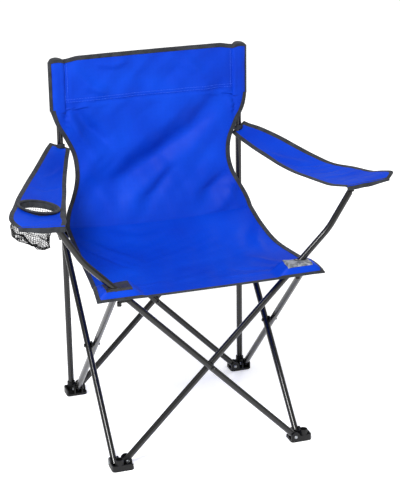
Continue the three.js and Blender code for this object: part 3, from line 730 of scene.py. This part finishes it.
# ---- the armrests -------------------------------------------------------------------------------
# each arm's edges from its post to its front: inner x, y, z, then outer x, y, z
ARM_EDGES = {
    "left": [
        (192, 207, 611, 232, 224, 624), (197, 190, 608, 245, 203, 621), (206, 164, 603.5, 258, 178, 618.3),
        (219, 121.5, 597, 280, 133.7, 613), (232.5, 76.5, 591.5, 303, 86.6, 608.5),
        (245.4, 29.5, 587, 326.5, 39.2, 605), (258, -21, 584, 349.6, -11.2, 602.5),
        (272, -72, 582, 372.3, -63.4, 601), (287.2, -125.4, 581.5, 393.4, -121.5, 600.5),
        (296, -158, 581, 408, -158, 600), (300, -190, 583, 414, -190, 597),
        (310, -221, 584.5, 404, -216, 590),
    ],
    "right": [
        (197, 212, 607, 231, 224, 627), (200, 195, 603, 238, 205, 625.5), (210, 159, 595, 255, 176, 622.8),
        (221.6, 112.5, 587.4, 281.8, 119.5, 614), (233.4, 66, 581.4, 304, 67, 603.6),
        (245, 20, 576.2, 326, 15, 594), (257, -26, 574, 348, -37, 588), (270, -72.5, 575, 373, -89.5, 592.4),
        (283, -119, 576.5, 396, -142, 595.5), (290, -150, 579, 409, -170, 603),
        (298, -176, 584, 420, -192, 606), (312, -198, 588, 404, -209, 598),
    ],
}
# folds of the arms, in the distance from the middle of the chair and y
ARM_FOLDS = {
    "left": [(7, 1.6, (225, 120), (260, 80), (285, 60)), (7, -1.4, (250, 20), (300, 0), (330, 10)),
             (5, 1.2, (300, -176), (330, -190), (370, -196))],
    "right": [(7, 3, (228, 110), (262, 50), (300, 5)), (6, -2.6, (240, 60), (280, 0), (320, -20)),
              (6, 2.6, (262, 5), (310, -30), (345, -40)), (7, -2.4, (272, -40), (320, -66), (372, -78)),
              (6, 2, (285, -90), (340, -110), (392, -120)), (6, -2, (300, -160), (350, -150), (400, -176))],
}
ARM_TABLE = {}
for arm_side, arm_rows in ARM_EDGES.items():
    centres = [(Vector(row[:3]) + Vector(row[3:])) / 2 for row in arm_rows]
    run = [0.0]
    for before, after in zip(centres, centres[1:]):
        run.append(run[-1] + (after - before).length)
    ARM_TABLE[arm_side] = [(reach / run[-1], *row) for reach, row in zip(run, arm_rows)]
ARM_LENGTH = 440
ARM_SAG = 5
# how far each arm's front hem hangs at its inner end
ARM_HEM_HANG = {"left": 13, "right": 9.5}


def arm_surface(side, s, t):
    """A point of an arm in mm; s from 0 at the inner edge to 1, t from 0 at the post to 1."""
    table = ARM_TABLE[side]
    inner = Vector([along(table, t, c) for c in (1, 2, 3)])
    outer = Vector([along(table, t, c) for c in (4, 5, 6)])
    point = inner.lerp(outer, s)
    inside = max(0, math.sin(math.pi * min(1, max(0, s))))
    point.z -= ARM_SAG * inside * max(0, math.sin(math.pi * min(1, max(0, t)))) ** 0.8
    point.z += inside ** 0.5 * (creased(point.xy, ARM_FOLDS[side])
                                + folds(point.xy, (-0.4, 0.9), 90, 20, 1.2, 3.0 + SIGN[side]))
    return Vector((SIGN[side] * point.x, point.y, point.z))


CUP = middle("cup_ring")
CUP_R = (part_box("cup_ring")[1][0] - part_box("cup_ring")[0][0]) / 2


def make_armrest(side):
    """An arm of two layers of cloth, taped all round, from a loop on the post to the arm tube's end."""
    body = f"armrest_{side}"

    def place(u, v):
        return arm_surface(side, u, v)
    bm = grid(60, 200, place)
    if side == "left":
        hole = CUP_R - 3.5 * MM
        inside = [f for f in bm.faces if (f.calc_center_median().xy - CUP.xy).length < hole]
        bmesh.ops.delete(bm, geom=inside, context="FACES")
    cloth = finish_piece(f"arm_cloth_{side}", bm, FABRIC, body, (f"armrest_{side}",))
    solidify(cloth, ARM_CLOTH)

    def edge(at, inward):
        def strip(u, v):
            width = (arm_surface(side, 1, v) - arm_surface(side, 0, v)).length
            return arm_surface(side, at + inward * tape_inset(u) / width, v)
        return strip

    def back(u, v):
        return arm_surface(side, v, tape_inset(u) / ARM_LENGTH)

    def front(u, v):
        # the front hem turns down over the end of the tube
        lip = arm_surface(side, v, 1 - 3.5 * (1 - smooth(0, 0.4, u)) / ARM_LENGTH)
        hang = ARM_HEM_HANG[side] - 5 * smooth(0.45, 1, v)
        return lip + Vector((0, -1.6 * smooth(0, 0.4, u), 0.6 - hang * u))
    tapes = [
        tape(f"arm_inner_tape_{side}", 3, 80, edge(0, 1), body),
        tape(f"arm_outer_tape_{side}", 3, 80, edge(1, -1), body),
        tape(f"arm_front_tape_{side}", 6, 30, front, body),
        tape(f"arm_back_tape_{side}", 3, 12, back, body),
    ]
    loop = make_post_loop(side)
    made = [cloth, *tapes]
    if side == "left":
        made += make_cup_holder(body)
    for piece in made:
        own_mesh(piece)


POST_LOOP_FOOT, POST_LOOP_HEIGHT = 613, 10
# how much lower the loop hangs behind the post than beside it
POST_LOOP_TILT = 3


def make_post_loop(side):
    """The loop of tape at the back of an arm, which goes round the post."""
    centre = POST[side] / MM

    def place(u, v):
        angle = 2 * math.pi * u
        radius = TUBE_R / MM + ARM_CLOTH
        z = POST_LOOP_FOOT + POST_LOOP_HEIGHT * v - POST_LOOP_TILT * math.sin(angle)
        return Vector((centre.x + radius * math.cos(angle), centre.y + radius * math.sin(angle), z))
    loop = finish_piece(f"arm_post_loop_{side}", grid(32, 3, place, closed=True), TAPE,
                        NODE_BODY[f"post_{side}"])
    solidify(loop, ARM_CLOTH)
    return round_edges(loop, 0.7)


CUP_WIRE_R = 2.6
COLLAR_DEPTH = 13
BAG_TOP = 12
BAG_DEPTH = 64
# how far the bag swings out under the arm
BAG_SWING = 21
YARN = 1.2


def make_cup_holder(body):
    """A wired ring in the arm, a stiff collar under it, and a knitted bag that hangs from the collar."""
    cx, cy, cz = CUP / MM - LIFT
    low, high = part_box("cup_ring")
    radius = CUP_R / MM - CUP_WIRE_R
    # the ring lies on the arm, which rises outwards
    slope = ((high[2] - low[2]) / MM - 2 * CUP_WIRE_R) / (2 * radius)

    def ring_at(angle, distance, height):
        x = distance * math.cos(angle)
        return Vector((cx + x, cy + distance * math.sin(angle), cz - slope * x + height))

    def ring(u, v):
        around = 2 * math.pi * v
        height = CUP_WIRE_R * math.sin(around) + 0.6
        return ring_at(2 * math.pi * u, radius + 3.2 * math.cos(around), height)
    rim = finish_piece("cup_ring_taped", closed_tube(64, 12, ring), TAPE, body, ("cup_ring",))

    def collar(u, v):
        return ring_at(2 * math.pi * u, radius - 1.2 - 1.5 * v, -1 - COLLAR_DEPTH * v)
    band = finish_piece("cup_collar", grid(64, 4, collar, closed=True), TAPE, body)
    solidify(band, 1.4)

    def bag(u, v):
        angle = 2 * math.pi * u
        out = Vector((math.cos(angle), math.sin(angle)))
        pinch = radius * (0.98 - 0.04 * v - 0.5 * smooth(0.78, 1.05, v)) - 1.5
        crumple = 1 + 0.16 * v * noise.noise(Vector((2.6 * out.x, 2.6 * out.y, v * 3)))
        wave = 8 * v * v * noise.noise(Vector((1.8 * out.x, 1.8 * out.y, 5 + v * 2)))
        point = ring_at(angle, pinch * crumple, 0)
        # the bag swings out under the arm, and its outer side is gathered higher
        swing = 4 * smooth(0.6, 1, v) - BAG_SWING * smooth(0, 0.45, v)
        # the meshes bunch together low in the bag
        low = 1 - (1 - v) ** 1.7
        fall = BAG_TOP + (BAG_DEPTH + 15 * out.x) * low
        return Vector((point.x + swing, point.y, point.z + (cz - point.z) * v - fall + wave))
    bm = grid(50, 20, bag, closed=True)
    # the foot of the bag is closed and drawn together in its middle
    halfway = CUP.z - 40 * MM
    low_edge = [e for e in bm.edges if e.is_boundary and e.verts[0].co.z < halfway]
    foot = bmesh.ops.contextual_create(bm, geom=low_edge)["faces"]
    bmesh.ops.inset_region(bm, faces=foot, thickness=5 * MM, depth=-3 * MM)
    bmesh.ops.poke(bm, faces=foot)
    net = finish_piece("cup_net_bag", bm, NET, body, ("cup_net",))
    wires = net.modifiers.new("yarn", "WIREFRAME")
    wires.thickness = YARN * MM
    wires.use_even_offset = False
    return [rim, band, net]


# ---- the frame ----------------------------------------------------------------------------------
BEND_STEPS = 8
# tubes run on past the middle of their end pivots
PAST_PIVOT = 6.6 * MM
# an arm tube bends this far above its corner moulding, with this radius
ARM_BEND_REACH, ARM_BEND_RADIUS = 118 * MM, 150 * MM


def steel_tube(name, points, bends, cad):
    """A round tube through the points, in metres; bends has the radius of each corner between them."""
    curve = bpy.data.curves.new(name, "CURVE")
    curve.dimensions = "3D"
    spline = curve.splines.new("POLY")
    path = [points[0]]
    for before, corner, after, radius in zip(points, points[1:], points[2:], bends):
        into, out = (before - corner).normalized(), (after - corner).normalized()
        half_turn = (math.pi - into.angle(out)) / 2
        reach = radius * math.tan(half_turn)
        start, finish = corner + into * reach, corner + out * reach
        for i in range(BEND_STEPS + 1):
            t = i / BEND_STEPS
            path.append(start.lerp(corner, t).lerp(corner.lerp(finish, t), t))
    path.append(points[-1])
    spline.points.add(len(path) - 1)
    for point, at in zip(spline.points, path):
        point.co = (*at, 1)
    spline.use_smooth = True
    curve.bevel_depth = TUBE_R
    curve.bevel_resolution = 7
    curve.use_fill_caps = True
    curve.materials.append(STEEL)
    piece = bpy.data.objects.new(name, curve)
    bpy.context.scene.collection.objects.link(piece)
    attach(piece, NODE_BODY[cad])
    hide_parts(cad)


def soft_copy(node_name, material, width):
    """A CAD piece again, merged into one skin, its edges rounded as moulding or turning leaves them."""
    bm = bmesh.new()
    bm.from_mesh(frame["nodes"][node_name].data)
    bmesh.ops.remove_doubles(bm, verts=bm.verts, dist=0.01 * MM)
    bmesh.ops.dissolve_limit(bm, angle_limit=math.radians(2), verts=bm.verts, edges=bm.edges)
    piece = finish_piece(f"{node_name}_finished", bm, material, NODE_BODY[node_name], (node_name,),
                         math.radians(33))
    return round_edges(piece, width)


def make_frame():
    """The tubes as bevelled curves between their pivots, and the mouldings, spacers and rivets."""
    straight = {
        "left_tube_inner": ("fold", "left_corner_pivot"),
        "left_tube_outer": ("front_left_foot_pivot", "left_slider_pivot"),
        "rear_tube_outer": ("rear_left_foot_pivot", "right_slider_pivot"),
        "right_tube_outer": ("rear_right_foot_side_pivot", "right_corner_pivot"),
    }
    for name, (low, high) in straight.items():
        run = (JOINTS[high] - JOINTS[low]).normalized() * PAST_PIVOT
        steel_tube(f"{name}_steel", [JOINTS[low] - run, JOINTS[high] + run], [], name)
    # these two end where the linkage is open, so their pivots come from their planes and the others' pins
    pin = abs(JOINTS["rear_left_foot_pivot"].x)
    low_z, high_z = JOINTS["fold"].z, JOINTS["left_slider_pivot"].z
    rear_y, right_x = middle("rear_tube_inner").y, middle("right_tube_inner").x
    opened = {
        "rear_tube_inner": (Vector((pin, rear_y, low_z)), Vector((-pin, rear_y, high_z))),
        "right_tube_inner": (Vector((right_x, -pin, low_z)), Vector((right_x, pin, high_z))),
    }
    for name, ends in opened.items():
        run = (ends[1] - ends[0]).normalized() * PAST_PIVOT
        steel_tube(f"{name}_steel", [ends[0] - run, ends[1] + run], [], name)
    for side, start in ARM_TUBE_FOOT.items():
        low = JOINTS[start]
        high = Vector((SIGN[side] * abs(low.x), low.y, high_z))
        run = (high - low).normalized()
        corner = high + run * ARM_BEND_REACH
        tip = middle(f"arm_tip_cap_{side}")
        end = corner + (tip - corner).normalized() * ((tip - corner).length - 1 * MM)
        steel_tube(f"arm_tube_{side}", [low - run * PAST_PIVOT, corner, end], [ARM_BEND_RADIUS],
                   f"front_tube_{side}_arm")
        post = POST[side]
        foot_end, top_end = (Vector((post.x, post.y, corner[2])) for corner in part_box(f"post_{side}"))
        steel_tube(f"post_{side}_steel", [foot_end, top_end], [], f"post_{side}")
    for name in NODE_BODY:
        if "rivet" in name:
            soft_copy(name, ZINC if name.startswith("foot") else STEEL, 0.4)
        elif "spacer" in name or "cap" in name:
            soft_copy(name, NYLON, 0.3)
        elif name.startswith(("foot_", "slider_", "corner_")):
            soft_copy(name, NYLON, 0.9)


# ---- stage, light and camera --------------------------------------------------------------------
FLOOR_REACH = 20
FLOOR_GLOW = 0.46
WORLD_LIGHT = 0.6


def make_stage():
    """A floor of white paper, which glows a little so that it shows as nearly white."""
    bm = bmesh.new()
    bmesh.ops.create_grid(bm, x_segments=1, y_segments=1, size=FLOOR_REACH)
    mesh = bpy.data.meshes.new("studio_floor")
    bm.to_mesh(mesh)
    bm.free()
    floor = bpy.data.objects.new("studio_floor", mesh)
    bpy.context.scene.collection.objects.link(floor)
    material, tree, bsdf = new_material("matt_white_paper", Roughness=0.9, Specular_IOR_Level=0.1)
    bsdf.inputs["Emission Color"].default_value = (1, 1, 1, 1)
    bsdf.inputs["Emission Strength"].default_value = FLOOR_GLOW
    place = node(tree, "ShaderNodeTexCoord").outputs["Object"]
    tone = node(tree, "ShaderNodeTexNoise", inputs={"Scale": 1.5}, Vector=place)
    colour = ramp(tree, tone.outputs["Fac"], [(0.4, linear("f7f7f7")), (0.6, linear("f9f9f9"))])
    tree.links.new(colour.outputs["Color"], bsdf.inputs["Base Color"])
    mesh.materials.append(material)


def area_light(name, at, target, size, power):
    light = bpy.data.lights.new(name, "AREA")
    light.size = size
    light.energy = power
    lamp = bpy.data.objects.new(name, light)
    lamp.location = at
    lamp.rotation_euler = (Vector(target) - Vector(at)).to_track_quat("-Z", "Y").to_euler()
    bpy.context.scene.collection.objects.link(lamp)


def make_light():
    world = bpy.data.worlds.new("studio")
    world.use_nodes = True
    background = world.node_tree.nodes["Background"]
    background.inputs["Color"].default_value = (1, 1, 1, 1)
    background.inputs["Strength"].default_value = WORLD_LIGHT
    bpy.context.scene.world = world
    area_light("key_softbox", at=(-1.7, -2.1, 3.1), target=(0, 0, 0.45), size=1.1, power=150)
    area_light("rim_softbox", at=(2.4, 1.4, 2.6), target=(0, 0, 0.5), size=1.4, power=26)
    # the display's own curve, which leaves the cloth's deep blue and the white paper as they are
    bpy.context.scene.view_settings.view_transform = "Standard"


def make_camera():
    """A long lens, a little to the left of the chair's front and above the arms."""
    azimuth, elevation, roll = -0.3157988, 0.3576848, -0.0148048
    distance = 3.612229
    aim_right, aim_up = 0.043376, 0.013554
    back = Vector((math.sin(azimuth) * math.cos(elevation), -math.cos(azimuth) * math.cos(elevation),
                   math.sin(elevation)))
    right = (-back).cross(Vector((0, 0, 1))).normalized()
    up = right.cross(-back)
    chair_middle = Vector((0, 0, 0.4)) + LIFT * MM
    target = chair_middle + right * aim_right + up * aim_up
    turned_right = right * math.cos(roll) + up * math.sin(roll)
    turned_up = up * math.cos(roll) - right * math.sin(roll)
    lens = bpy.data.cameras.new("camera")
    lens.lens = 117.36
    lens.sensor_width = 36
    camera = bpy.data.objects.new("camera", lens)
    axes = Matrix((turned_right, turned_up, back)).transposed().to_4x4()
    camera.matrix_world = Matrix.Translation(target + back * distance) @ axes
    bpy.context.scene.collection.objects.link(camera)
    bpy.context.scene.camera = camera


make_camera()
make_stage()
make_light()
make_frame()
make_back()
for label in SIGN:
    make_sleeve(label)
    make_seat(label)
    make_armrest(label)
